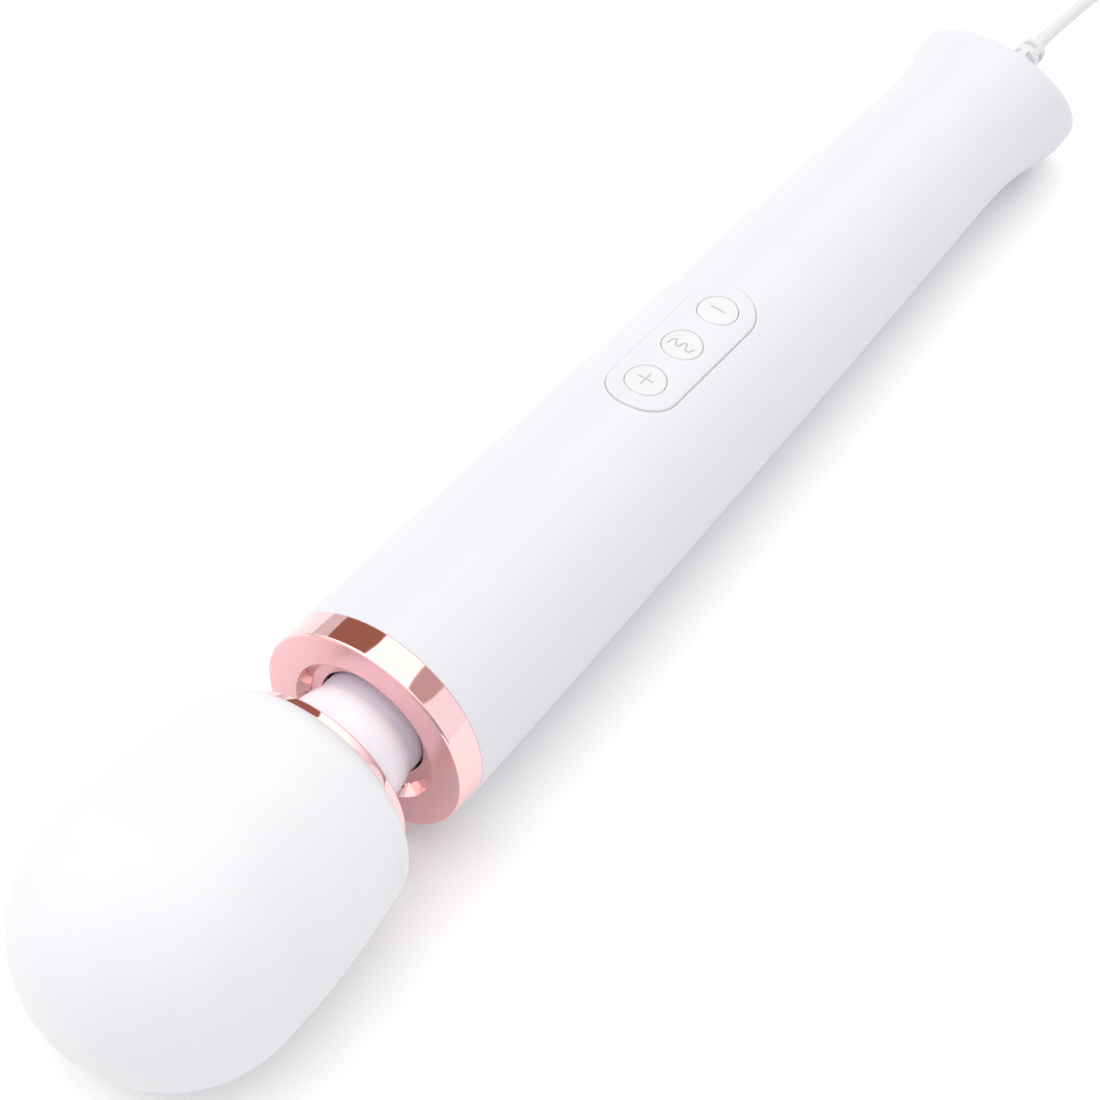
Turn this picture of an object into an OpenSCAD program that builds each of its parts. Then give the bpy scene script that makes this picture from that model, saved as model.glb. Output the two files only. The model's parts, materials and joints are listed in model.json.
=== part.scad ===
// Handheld wand massager, lying on a flat surface with its buttons up.
// X runs from the tail to the head, Z is up, and z = 0 is the surface that it lies on.
// Most modules draw along the wand's own axis, where s is the distance from the tail.

/* [Wand] */
// Distance s of the tip of the head; the slanted tail end reaches 8 mm behind s = 0
wand_len = 343; // [340:1:346]
// Slant of the tail's end, which is longer underneath
tail_tilt = 26.5; // [24:0.5:28]
// Largest radius of the flared tail
tail_r = 21.3; // [20.6:0.1:21.8]
// Radius of the handle where it meets the metal collar
collar_end_r = 24.3; // [24.1:0.1:24.6]
// Wall of the one-piece handle sleeve
sleeve_wall = 2.3; // [1.8:0.1:2.6]

/* [Head] */
// Largest radius of the silicone head
head_r = 30; // [29.5:0.1:31]
// Length of the straight band around the head that slip-on attachments grip
band_len = 8; // [5:0.5:9]
// Radius of the neck's ball
ball_r = 12.15; // [11.9:0.05:12.2]

/* [Buttons] */
// Radius of each round button
button_r = 4.5; // [4:0.1:4.6]
// Distance between neighbouring buttons
button_pitch = 13.8; // [13:0.1:14.4]
// How far the button panel stands proud of the sleeve
panel_proud = 0.25; // [0.1:0.05:0.5]

/* [Lead] */
// Diameter of the power lead
lead_d = 3.4; // [3:0.1:3.6]
// Distance between the axes of the two round mains pins
pin_pitch = 19; // [18.5:0.1:19.5]
// Radius of a mains pin
pin_r = 2; // [1.9:0.05:2.2]

/* [Hidden] */
$fn = 96;
gap = 0.05;

// Handle outline: distance along the axis and radius, from the flare to the collar
collar_s = 249;
flare_s = 4.2;
HANDLE = [[-3.5, tail_r - 0.3], [flare_s, tail_r], [8, 20.9], [13, 19.9], [20, 18.8], [28, 18.25], [38, 18.3], [52, 18.85],
    [75, 19.7], [105, 20.75], [140, 21.75], [175, 22.7], [210, 23.5], [collar_s, collar_end_r]];
tail_s = 0.8;

// Head outline: back of the shoulder, start of the side, the straight band, the tip
head_back_s = 271.2;
shoulder_s = 278.5;
shoulder_len = 10.5;
shoulder_r = 27.1;
band_s = 306;
dome_s = band_s + band_len;

// Neck: the ball's centre is the point that the head tilts about
pivot_s = 252.8;
ring_s = 267.9;
lip_s = pivot_s + 3.4;
socket_r = ball_r + 0.35;

// Collar
collar_front_s = 255.7;
collar_hole_r = 16.8;
step_s = 252.9;
step_hole_r = 12.6;

// Button panel
panel_s = 146.6;
panel_len = 44.6;
panel_w = 16.2;
panel_floor = 18.9;
seam = 0.15;
BUTTON_S = [panel_s - button_pitch, panel_s, panel_s + button_pitch];

// Chassis and circuit board
tray_start = 66;
tray_end = 236;
tray_r = 16.4;
tray_wall = 1.8;
board_z = 9;
board_t = 1.6;
board_w = 19;
board_start = 84;
board_end = 206;

// Motor
motor_s = 281;
motor_len = 34;
motor_r = 14;
shaft_r = 1.5;
cavity_r = 22;
cradle_s = 286;

// Lay of the wand: the tail's flare and the head's band touch the surface
lay_angle = asin((head_r - tail_r) / (band_s - flare_s));
lay_lift = 0.02;
tail_x = -167.5;
tail_z = tail_r * cos(lay_angle) - flare_s * sin(lay_angle) + lay_lift;

// Lead: it leaves the strain relief, comes down to the surface and runs to the coil
relief_len = 16;
LEAD = [[-199, 0, 19.3], [-208, 0, 18], [-217, 0, 16.2], [-225, 0, 13.4], [-233, 0, 9.8],
    [-241, 0, 6.2], [-249, 0, 3.4], [-257, -0.2, 2], [-266, -0.4, 1.75], [-277, -0.6, 1.75],
    [-289, -0.65, 1.75]];
coil_x = -289;
coil_y = 24;
coil_mean_r = 5.75 * lead_d;
coil_columns = 4;
coil_rows = 4;
coil_in = coil_mean_r - coil_columns * lead_d / 2;
coil_out = coil_mean_r + coil_columns * lead_d / 2;
coil_h = coil_rows * lead_d;
// From the coil's top turn, down round a bend and into the adaptor
TAIL = [[-313.6, 24, 11.9], [-314.4, 33, 10.8], [-314.8, 41, 7.8], [-315.4, 49, 4.4],
    [-318.6, 56.6, 2.2], [-325.2, 61.6, 1.75], [-333, 61.6, 1.9], [-339.6, 56.6, 2.9],
    [-342.4, 50, 4.6], [-343, 46, 5.4], [-343, 42, 5.6]];

// Adaptor: its body lies on the surface with the pins pointing up
adaptor_x = -343;
adaptor_y = 0;
adaptor_w = 34;
adaptor_len = 60;
adaptor_h = 26;
adaptor_split = 20;
adaptor_corner = 6;
adaptor_relief_len = 12;
pin_len = 19;

WHITE = [0.95, 0.95, 0.97];
SILICONE = [0.93, 0.93, 0.94];
ROSE = [0.93, 0.68, 0.64];
LAVENDER = [0.72, 0.70, 0.77];
METAL = [0.72, 0.73, 0.75];
BLACK = [0.12, 0.12, 0.13];

// Smooth curve through a list of [s, r] stations
function slope(p, i) =
    let (a = max(i - 1, 0), b = min(i + 1, len(p) - 1))
    i == 0 ? 0 : (p[b][1] - p[a][1]) / (p[b][0] - p[a][0]);
function span(p, i, t) =
    let (d = p[i + 1][0] - p[i][0])
    [p[i][0] + d * t,
        p[i][1] * (2 * t ^ 3 - 3 * t ^ 2 + 1) + slope(p, i) * d * (t ^ 3 - 2 * t ^ 2 + t)
        + p[i + 1][1] * (3 * t ^ 2 - 2 * t ^ 3) + slope(p, i + 1) * d * (t ^ 3 - t ^ 2)];
function smooth(p, steps) =
    concat([for (i = [0:len(p) - 2], k = [0:steps - 1]) span(p, i, k / steps)], [p[len(p) - 1]]);
function ellipse_arc(s0, r0, ds, dr, a0, a1, steps) =
    [for (k = [0:steps])
        let (a = a0 + (a1 - a0) * k / steps)
        [s0 + ds * cos(a), r0 + dr * sin(a)]];

handle_curve = smooth(HANDLE, 4);
heel = [[-8.4, 0], [-8.4, 18.4], [-7.7, 19.5], [-6.3, 20.5]];

// Head outline from the rose ring forward to the tip
function shoulder_radius(s) = shoulder_r * (1 - ((shoulder_s - s) / shoulder_len) ^ 2.35) ^ 0.4255;
function side_radius(s) =
    head_r - (head_r - shoulder_r) * ((band_s - s) / (band_s - shoulder_s)) ^ 1.6;
head_outline = concat(
    [for (k = [0:5]) let (s = head_back_s + (shoulder_s - head_back_s) * k / 6) [s, shoulder_radius(s)]],
    [for (k = [0:8]) let (s = shoulder_s + (band_s - shoulder_s) * k / 8) [s, side_radius(s)]],
    ellipse_arc(dome_s, 0, wand_len - dome_s, head_r, 90, 0, 20));

// Hard core under the silicone
core_r = head_r - 3;
core_tip = wand_len - 4;
core_s = 277;
core_outline = concat(
    [[core_s, 24.6], [285, core_r - 0.6], [dome_s - 1, core_r]],
    ellipse_arc(dome_s, 0, core_tip - dome_s, core_r, 90, 0, 16));

// Turns a drawing that stands on the Z axis so that it lies along the wand's axis
module lay() {
    translate([tail_x, 0, tail_z])
        rotate([0, -lay_angle, 0])
            children();
}

module along_axis(s = 0) {
    lay()
        translate([s, 0, 0])
            rotate([0, 90, 0])
                children();
}

// Solid of revolution about the wand's axis, from a list of [s, r] points
module turned(points) {
    along_axis()
        rotate_extrude($fn = 128)
            polygon([for (p = points) [p[1], p[0]]]);
}

module disc(s, length, r) {
    along_axis(s)
        cylinder(h = length, r = r);
}

module ring(s, length, outer, inner) {
    turned([[s, inner], [s, outer], [s + length, outer], [s + length, inner]]);
}

// Frame of the slanted tail end: its X axis points into the handle from the end's plane
module tail_frame() {
    lay()
        translate([tail_s, 0, 0])
            rotate([0, tail_tilt, 0])
                children();
}

module tail_disc(x, length, r) {
    tail_frame()
        translate([x, 0, 0])
            rotate([0, 90, 0])
                cylinder(h = length, r = r);
}

// Everything behind a plane that lies a depth inside the tail's end
module behind_tail(depth) {
    tail_frame()
        translate([depth - 60, -40, -40])
            cube([60, 80, 80]);
}

// Box given by its extent along the axis, its width across it and its heights above it
module block(s0, s1, width, z0, z1, y = 0) {
    lay()
        translate([s0, y - width / 2, z0])
            cube([s1 - s0, width, z1 - z0]);
}

// Upright cylinder on the wand, above the axis at distance s
module post(s, y, z0, z1, r) {
    lay()
        translate([s, y, z0])
            cylinder(h = z1 - z0, r = r, $fn = 48);
}

// Upright stadium over the button panel
module stadium(length, width, z0, z1) {
    lay()
        translate([panel_s, 0, z0])
            linear_extrude(z1 - z0) {
                square([length - width, width], center = true);
                for (side = [-1, 1])
                    translate([side * (length - width) / 2, 0])
                        circle(r = width / 2, $fn = 96);
            }
}

// ---- handle ----

module handle_sleeve() {
    lining = [for (p = handle_curve) if (p[0] > 30) [p[0], p[1] - sleeve_wall]];
    color(WHITE)
        difference() {
            turned(concat(heel, handle_curve, [[collar_s, 0]]));
            difference() {
                turned(concat([[-12, 0], [-12, 15.9], [30, 15.9]], lining,
                    [[collar_s + 1, collar_end_r - sleeve_wall], [collar_s + 1, 0]]));
                behind_tail(6);
            }
            behind_tail(0);
            tail_disc(-1, 4, 15.4);
            tail_disc(2, 6, 8);
            stadium(panel_len + 2 * seam, panel_w + 2 * seam, 15, 26);
            for (side = [-1, 1])
                tail_hole(side, 2.9, 3.2, 1);
        }
}

// Hole in the tail's end for one of its two screws
module tail_hole(side, x, length, r) {
    tail_frame()
        translate([x, side * 11.2, 0])
            rotate([0, 90, 0])
                cylinder(h = length, r = r, $fn = 48);
}

module tail_cap() {
    color(WHITE)
        difference() {
            union() {
                tail_disc(0, 0.3, 15.1);
                tail_disc(0.2, 2.75, 15.35);
            }
            disc(-4, 12, 3.7);
            for (side = [-1, 1]) {
                tail_hole(side, -1, 5, 1.1);
                tail_hole(side, -1, 2.4, 2.2);
            }
        }
}

module tail_screws() {
    color(METAL)
        for (side = [-1, 1])
            difference() {
                union() {
                    tail_hole(side, 0.2, 1.15, 2.05);
                    tail_hole(side, 1.3, 4.5, 0.95);
                }
                tail_frame()
                    translate([0, side * 11.2, 0])
                        cube([1.2, 2.4, 0.5], center = true);
            }
}

module collar() {
    color(ROSE)
        turned([[collar_s, 21.95], [collar_s, collar_end_r - 0.15], [collar_s + 0.3, collar_end_r],
            [collar_front_s - 0.35, 24.08], [collar_front_s, 23.75],
            [collar_front_s, collar_hole_r + 0.15],
            [collar_front_s - 0.15, collar_hole_r], [step_s + 0.05, 15.15],
            [step_s + 0.05, 18.5], [collar_s + 1.2, 18.5], [collar_s + 1.2, 21.95]]);
}

module collar_step_ring() {
    color(ROSE)
        turned([[251, step_hole_r + 0.3], [251, 18.4], [step_s, 18.4], [step_s, step_hole_r + 0.2],
            [step_s - 0.2, step_hole_r], [251.3, step_hole_r]]);
}

module collar_carrier() {
    color(WHITE)
        turned([[238, 17], [238, 21.1], [collar_s - 0.1, 21.7], [collar_s + 1.1, 21.7],
            [collar_s + 1.1, 17]]);
}

module neck_seat() {
    color(BLACK)
        ring(243.9, 6.3, 16.9, ball_r + 0.45);
}

module core_anchor() {
    color(BLACK)
        ring(239.5, 4.3, 16.9, 4);
}

module half_tube(side) {
    intersection() {
        ring(tray_start, tray_end - tray_start, tray_r, tray_r - tray_wall);
        block(tray_start, tray_end, 40, side > 0 ? 0.1 : -20, side > 0 ? 20 : 0);
    }
}

BOARD_POSTS = [[board_start + 5, -6.5], [board_start + 5, 6.5], [board_end - 5, -6.5],
    [board_end - 5, 6.5]];

module chassis_tray() {
    color([0.80, 0.81, 0.84])
        difference() {
            union() {
                half_tube(-1);
                for (p = BOARD_POSTS)
                    intersection() {
                        post(p[0], p[1], -18, board_z - 0.05, 2.4);
                        disc(tray_start, tray_end - tray_start, tray_r - 0.5);
                    }
            }
            for (p = BOARD_POSTS)
                post(p[0], p[1], board_z - 8, board_z, 1);
        }
}

module chassis_cover() {
    color([0.80, 0.81, 0.84])
        difference() {
            union() {
                half_tube(1);
                stadium(panel_len - 1.4, panel_w - 0.8, 12, 17.8);
            }
            stadium(panel_len - 5, 12.4, 5, 20);
            disc(tray_start, tray_end - tray_start, tray_r - tray_wall);
        }
}

module button_panel() {
    skin = [for (p = handle_curve) if (p[0] > 100 && p[0] < 200) [p[0], p[1] + panel_proud]];
    color(WHITE)
        difference() {
            intersection() {
                stadium(panel_len, panel_w, panel_floor, 26);
                turned(concat([[skin[0][0], 5]], skin, [[skin[len(skin) - 1][0], 5]]));
            }
            for (s = BUTTON_S)
                post(s, 0, 15, 28, button_r + 0.22);
        }
}

module panel_gasket() {
    color(BLACK)
        difference() {
            stadium(panel_len - 1.4, panel_w - 0.8, 17.85, panel_floor - 0.05);
            stadium(panel_len - 4.6, 12.8, 15, 20);
        }
}

// Domed round button with a flange under the panel and a stem over its switch
module button(s) {
    skin_r = lookup(s, handle_curve);
    top = skin_r + panel_proud + 0.2;
    dome_r = 24;
    color(WHITE) {
        intersection() {
            post(s, 0, panel_floor - 0.4, 28, button_r);
            lay()
                translate([s, 0, top - dome_r])
                    sphere(r = dome_r, $fn = 128);
        }
        post(s, 0, panel_floor - 1.3, panel_floor - 0.3, button_r + 0.9);
        post(s, 0, 14.9, panel_floor - 1.2, 1.6);
    }
}

module button_minus() {
    button(BUTTON_S[0]);
}

module button_wave() {
    button(BUTTON_S[1]);
}

module button_plus() {
    button(BUTTON_S[2]);
}

// ---- electronics ----

module circuit_board() {
    color([0.10, 0.38, 0.24])
        difference() {
            block(board_start, board_end, board_w, board_z, board_z + board_t);
            for (p = BOARD_POSTS)
                post(p[0], p[1], board_z - 1, board_z + 3, 1.15);
        }
}

module board_screws() {
    top = board_z + board_t;
    color(METAL)
        for (p = BOARD_POSTS) {
            post(p[0], p[1], board_z - 6, top + 0.2, 0.95);
            post(p[0], p[1], top + 0.05, top + 1.25, 1.9);
        }
}

module tact_switches() {
    top = board_z + board_t;
    for (s = BUTTON_S) {
        color(BLACK)
            block(s - 3, s + 3, 6, top + 0.02, top + 2.6);
        color(METAL)
            post(s, 0, top + 2.5, top + 3.6, 1.7);
    }
}

module control_chip() {
    color(BLACK)
        block(170, 177, 7, board_z + board_t + 0.02, board_z + board_t + 1);
}

module driver_chip() {
    color(BLACK)
        block(184, 190, 5, board_z + board_t + 0.02, board_z + board_t + 1.5, 3);
}

module capacitors() {
    color([0.20, 0.22, 0.45])
        for (s = [104, 114])
            post(s, 0, board_z - 11.5, board_z - 0.05, 4);
}

module lead_connector() {
    color(WHITE)
        block(board_start + 1, board_start + 8, 7.6, board_z - 6, board_z - 0.05);
}

WIRE_Y = [-1.4, 1.4];

module lead_wires() {
    for (y = WIRE_Y)
        color(y < 0 ? "firebrick" : BLACK)
            lay()
                translate([6.2, y, 0])
                    rotate([0, atan(-5 / 78), 0])
                        rotate([0, 90, 0])
                            cylinder(h = 78.4, r = 0.7, $fn = 24);
}

module motor_connector() {
    color(WHITE)
        block(board_end - 9, board_end - 2, 7.6, board_z - 6, board_z - 0.05);
}

module motor_wires() {
    for (y = WIRE_Y)
        color(y < 0 ? "firebrick" : BLACK)
            lay()
                translate([board_end - 1.9, y, 5])
                    rotate([0, atan(3 / 39), 0])
                        rotate([0, 90, 0])
                            cylinder(h = 39.6, r = 0.7, $fn = 24);
}

// ---- neck ----

module neck_ring() {
    color(LAVENDER)
        difference() {
            intersection() {
                along_axis(pivot_s)
                    sphere(r = ball_r, $fn = 128);
                disc(pivot_s - 5.3, 10.7, 20);
            }
            disc(pivot_s - 10, 20, 7);
        }
}

module flex_core() {
    color(BLACK)
        ring(pivot_s - 6.6, 12, 6.95, 2.5);
}

// ---- head ----

module neck_bulge() {
    floor_s = 260.3;
    bulge = ellipse_arc(262, 11, 6.6, 2.4, 152, 28, 12);
    cavity = [for (s = [260.3, 259.5, 258.5, 257.5, lip_s + 0.1])
        [s, sqrt(socket_r ^ 2 - (s - pivot_s) ^ 2)]];
    color(WHITE)
        turned(concat([[lip_s, socket_r - 0.25]], bulge, [[ring_s - 0.05, 12],
            [ring_s - 0.05, 8.7], [floor_s, 8.7]], cavity));
}

module head_ring() {
    color(ROSE)
        turned([[ring_s, 15.1], [ring_s, 17.3], [ring_s + 0.25, 17.8], [ring_s + 0.6, 20.3],
            [ring_s + 1.2, 21.4], [head_back_s - 0.05, 21.75], [head_back_s - 0.05, 19.65],
            [ring_s + 1.75, 19.6], [ring_s + 1.75, 15.1]]);
}

module head_base() {
    color(BLACK)
        difference() {
            turned([[260.5, 4], [260.5, 8.65], [ring_s, 8.65], [ring_s, 15.05],
                [ring_s + 1.8, 15.05], [ring_s + 1.8, 19.5], [head_back_s, 19.5],
                [275.5, 24], [core_s - 0.05, 24.55], [core_s - 0.05, cavity_r - 1],
                [273.5, cavity_r - 3], [273.5, 4]]);
            for (a = [90:120:330])
                core_screw(a, 0, 1.1);
        }
}

// Place of one of the three screws that hold the head's core to its base
module core_screw(angle, from, r, length = 20) {
    lay()
        rotate([angle, 0, 0])
            translate([270 + from, 0, 21.9])
                rotate([0, 90, 0])
                    cylinder(h = length, r = r, $fn = 32);
}

module head_core() {
    color(BLACK)
        difference() {
            turned(concat(core_outline, [[330, 0], [330, 13.5], [325, 17.5], [318, 19.5],
                [312, 19.5], [312, cavity_r], [cradle_s, cavity_r], [cradle_s, 20], [core_s, 20]]));
            for (a = [90:120:330])
                core_screw(a, 6, 0.9, 10);
        }
}

module head_screws() {
    color(METAL)
        for (a = [90:120:330]) {
            core_screw(a, 4.6, 0.85, 11);
            core_screw(a, 4.5, 1, 1.5);
        }
}

module head_cap() {
    color(SILICONE)
        turned(concat(head_outline, [for (k = [len(core_outline) - 1:-1:0])
            core_outline[k] + (k == len(core_outline) - 1 ? [0.03, 0] : [0, 0.03])],
            [[275.5, 24.1], [head_back_s, 19.6]]));
}

module motor_cradle() {
    color([0.35, 0.36, 0.38])
        ring(cradle_s + 0.1, 25.8, cavity_r - 0.1, motor_r + 0.1);
}

module motor_can() {
    color(METAL)
        turned([[motor_s, motor_r - 0.9], [motor_s, motor_r], [motor_s + motor_len, motor_r],
            [motor_s + motor_len, 3.1], [motor_s + motor_len - 1, 3.1],
            [motor_s + motor_len - 1, motor_r - 0.9]]);
}

module motor_magnets() {
    color([0.25, 0.25, 0.27])
        intersection() {
            ring(motor_s + 7, motor_len - 12, motor_r - 0.95, 10.6);
            for (side = [-1, 1])
                block(motor_s, motor_s + motor_len, 30, side > 0 ? 3 : -20, side > 0 ? 20 : -3);
        }
}

module motor_end_plate() {
    color([0.85, 0.85, 0.82])
        ring(motor_s - 1.2, 3, motor_r - 0.95, 3.1);
}

module motor_bearings() {
    color([0.80, 0.62, 0.30]) {
        ring(motor_s - 2, 4, 3.05, shaft_r + 0.05);
        ring(motor_s + motor_len - 1.8, 3.6, 3.05, shaft_r + 0.05);
    }
}

module motor_shaft() {
    color(METAL)
        disc(motor_s - 3, motor_len + 16, shaft_r);
}

module armature() {
    color([0.72, 0.38, 0.18])
        difference() {
            ring(motor_s + 8, motor_len - 14, 10, shaft_r + 0.02);
            for (a = [60:120:300])
                lay()
                    rotate([a, 0, 0])
                        translate([motor_s, -1.2, 6])
                            cube([motor_len, 2.4, 8]);
        }
}

module commutator() {
    color([0.78, 0.48, 0.26])
        ring(motor_s + 3, 4.4, 4.2, shaft_r + 0.02);
}

module eccentric_weight() {
    color(METAL)
        difference() {
            disc(motor_s + motor_len + 3, 7, 13);
            disc(motor_s + motor_len + 2, 9, shaft_r + 0.02);
            block(motor_s + motor_len + 2, motor_s + motor_len + 11, 30, 3.5, 20);
        }
}

// ---- lead ----

module strain_relief() {
    barrel = [[5.5, 3.6], [5.5, 1.7], [-relief_len, 1.75], [-relief_len, 2.4],
        [-relief_len + 0.5, 3], [-relief_len + 1.4, 3.3], [-2, 3.55], [0.2, 3.6]];
    color(WHITE)
        difference() {
            turned(barrel);
            for (row = [0:2], a = [0:90:270])
                lay()
                    rotate([a + row * 45, 0, 0])
                        translate([-13.2 + row * 4, -1.5, 2.7])
                            cube([1.3, 3, 2]);
        }
}

// Closed round tube through a list of points, with a ring of corners at each point
function unit(v) = v / norm(v);
function heading(p, i) = unit(p[min(i + 1, len(p) - 1)] - p[max(i - 1, 0)]);
function side_of(h) = unit(cross(h, [0, 0, 1]));
module tube(p, r, sides = 8) {
    n = len(p);
    corners = [for (i = [0:n - 1], k = [0:sides - 1])
        let (h = heading(p, i), a = side_of(h), b = cross(a, h), t = 360 * (k + 0.5) / sides)
        p[i] + r * (a * cos(t) + b * sin(t))];
    walls = [for (i = [0:n - 2], k = [0:sides - 1])
        let (m = (k + 1) % sides)
        [i * sides + k, i * sides + m, (i + 1) * sides + m, (i + 1) * sides + k]];
    start = [for (k = [sides - 1:-1:0]) k];
    end = [for (k = [0:sides - 1]) (n - 1) * sides + k];
    polyhedron(corners, concat(walls, [start, end]), convexity = 4);
}

function on_axis(s) =
    [tail_x + s * cos(lay_angle), 0, tail_z + s * sin(lay_angle)];

module cord_lead() {
    color(WHITE)
        tube(concat([on_axis(-relief_len), on_axis(-relief_len - 7)], LEAD), lead_d / 2);
}

module cord_coil() {
    c = lead_d / 2;
    color(WHITE)
        translate([coil_x, coil_y, 0])
            rotate_extrude($fn = 96)
                polygon(concat(
                    ellipse_arc(coil_in + c, c, c, c, 180, 270, 3),
                    ellipse_arc(coil_out - c, c, c, c, 270, 360, 3),
                    ellipse_arc(coil_out - c, coil_h - c, c, c, 0, 90, 3),
                    ellipse_arc(coil_in + c, coil_h - c, c, c, 90, 180, 3)));
}

module cord_tie() {
    width = coil_out - coil_in + 0.3;
    color(WHITE)
        translate([coil_x - 3.5, coil_y + coil_mean_r - width / 2 - 0.9, 0])
            difference() {
                cube([7, width + 1.8, coil_h + 1]);
                translate([-1, 0.9, -1])
                    cube([9, width, coil_h + 1.15]);
            }
}

module cord_tail() {
    color(WHITE)
        tube(TAIL, lead_d / 2);
}

// ---- adaptor ----

module adaptor_block(z0, z1, inset = 0) {
    w = adaptor_w - 2 * inset;
    l = adaptor_len - 2 * inset;
    c = adaptor_corner - inset;
    translate([adaptor_x, adaptor_y, z0])
        linear_extrude(z1 - z0) {
            square([w - 2 * c, l], center = true);
            square([w, l - 2 * c], center = true);
            for (x = [-1, 1], y = [-1, 1])
                translate([x * (w / 2 - c), y * (l / 2 - c)])
                    circle(r = c, $fn = 48);
        }
}

module adaptor_base() {
    wall = 1.8;
    color(WHITE)
        difference() {
            adaptor_block(0, adaptor_split);
            adaptor_block(wall, adaptor_split + 1, wall);
            translate([adaptor_x, adaptor_y + adaptor_len / 2 - wall - 1, 5.6])
                rotate([-90, 0, 0])
                    cylinder(h = wall + 2, r = 2.6, $fn = 48);
        }
}

module adaptor_cover() {
    wall = 1.8;
    color(WHITE)
        difference() {
            adaptor_block(adaptor_split + 0.1, adaptor_h);
            adaptor_block(adaptor_split, adaptor_h - wall, wall);
            for (side = [-1, 1])
                translate([adaptor_x + side * pin_pitch / 2, adaptor_y, adaptor_h - wall - 1])
                    cylinder(h = wall + 2, r = pin_r + gap, $fn = 48);
        }
}

module adaptor_pins() {
    root = 6;
    root_r = 1.7;
    color(METAL)
        for (side = [-1, 1])
            translate([adaptor_x + side * pin_pitch / 2, adaptor_y, adaptor_h])
                rotate_extrude($fn = 64)
                    polygon([[0, -root], [root_r, -root], [root_r, -3.3], [3.4, -3.3],
                        [3.4, -1.9], [root_r, -1.9], [root_r, 0], [pin_r, 0],
                        [pin_r, pin_len], [0, pin_len]]);
}

module adaptor_relief() {
    y_face = adaptor_y + adaptor_len / 2;
    color(WHITE)
        translate([adaptor_x, y_face, 5.6])
            rotate([-90, 0, 0])
                rotate_extrude($fn = 64)
                    polygon([[0, -1.8], [2.55, -1.8], [2.55, 0], [3.3, 0.1], [3.3, 1.2],
                        [2.1, adaptor_relief_len], [0, adaptor_relief_len]]);
}

handle_sleeve();
tail_cap();
tail_screws();
collar();
collar_step_ring();
collar_carrier();
neck_seat();
core_anchor();
chassis_tray();
chassis_cover();
button_panel();
panel_gasket();
button_minus();
button_wave();
button_plus();
circuit_board();
board_screws();
tact_switches();
control_chip();
driver_chip();
capacitors();
lead_connector();
lead_wires();
motor_connector();
motor_wires();
neck_ring();
flex_core();
neck_bulge();
head_ring();
head_base();
head_core();
head_cap();
head_screws();
motor_cradle();
motor_can();
motor_magnets();
motor_end_plate();
motor_bearings();
motor_shaft();
armature();
commutator();
eccentric_weight();
strain_relief();
cord_lead();
cord_coil();
cord_tie();
cord_tail();
adaptor_base();
adaptor_cover();
adaptor_pins();
adaptor_relief();
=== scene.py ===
import json
import math

import bmesh
import bpy
import numpy as np
from mathutils import Matrix, Vector, geometry


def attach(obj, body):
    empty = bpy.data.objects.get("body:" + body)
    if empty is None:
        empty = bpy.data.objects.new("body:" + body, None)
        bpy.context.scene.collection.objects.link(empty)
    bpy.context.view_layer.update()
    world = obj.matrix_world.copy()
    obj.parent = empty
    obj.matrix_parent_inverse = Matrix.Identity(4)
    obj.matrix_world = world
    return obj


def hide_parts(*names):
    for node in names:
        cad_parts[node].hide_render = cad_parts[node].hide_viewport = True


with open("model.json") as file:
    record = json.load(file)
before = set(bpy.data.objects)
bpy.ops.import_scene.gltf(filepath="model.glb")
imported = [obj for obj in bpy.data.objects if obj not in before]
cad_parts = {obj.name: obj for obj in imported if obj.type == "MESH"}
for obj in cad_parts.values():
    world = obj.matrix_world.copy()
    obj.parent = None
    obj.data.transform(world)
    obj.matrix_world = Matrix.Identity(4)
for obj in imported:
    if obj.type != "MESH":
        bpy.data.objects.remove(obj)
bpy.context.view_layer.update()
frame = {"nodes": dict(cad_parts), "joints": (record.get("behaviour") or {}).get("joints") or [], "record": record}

MM = 0.001
SEGMENTS = 192

# ---- places along the wand, in mm from the tail ----

PIVOT_S = 252.8
HANDLE = [(4.2, 21.3), (8, 20.9), (13, 19.9), (20, 18.8), (28, 18.25), (38, 18.3), (52, 18.85),
          (75, 19.7), (105, 20.75), (140, 21.75), (175, 22.7), (210, 23.5), (249, 24.3)]
FLARE_S, FLARE_R = HANDLE[0]
TAIL_S = 0.8
TAIL_TILT = math.radians(26.5)
TAIL_ROUND = 2.8
TAIL_WALL = 6
# Depth and radius down the mouth of the recess that the tail cap sits in
CAP_RECESS = [(3, 15.4), (0.25, 15.4), (0.08, 15.46), (0, 15.65)]
LEAD_HOLE_R = 8
SLEEVE_WALL = 2.3
LINING_START = (30, 15.9)
SQUARE_S = 32
COLLAR_S = 249.0
HEAD_BACK_S = 271.2
SHOULDER_S = 278.5
BAND_S = 306.0
DOME_S = 314.0
WAND_LEN = 343.0
HEAD_R = 30.0
RING_S = 267.9
BALL_R = 12.15

# Button panel: a stadium on the top of the handle, with three round buttons
PANEL_S = 146.6
PANEL_LEN = 44.6
PANEL_W = 16.2
PANEL_SPINE = (PANEL_LEN - PANEL_W) / 2
PANEL_PROUD = 0.25
PANEL_FLOOR = 18.9
SEAM = 0.15
PANEL_GROW = 0.09
PANEL_EDGE = 0.4
BUTTON_R = 4.5
BUTTON_PITCH = 13.8
BUTTON_PROUD = 0.2
BUTTON_EDGE = 0.25
HOLE_R = BUTTON_R + 0.09
HOLE_EDGE = 0.18
# Radius and height down a button's side, round its flange and down its stem
BUTTON_FOOT = [(4.5, 18.6), (5.4, 18.6), (5.4, 17.6), (1.6, 17.6), (1.6, 14.9)]

# The part of the sleeve's grid that the window is cut from: its reach along the wand from the
# middle of the panel, its rows, and its columns to either side
PATCH_REACH = 27
PATCH_ROWS = 36
PATCH_COLUMNS = 19

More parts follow.
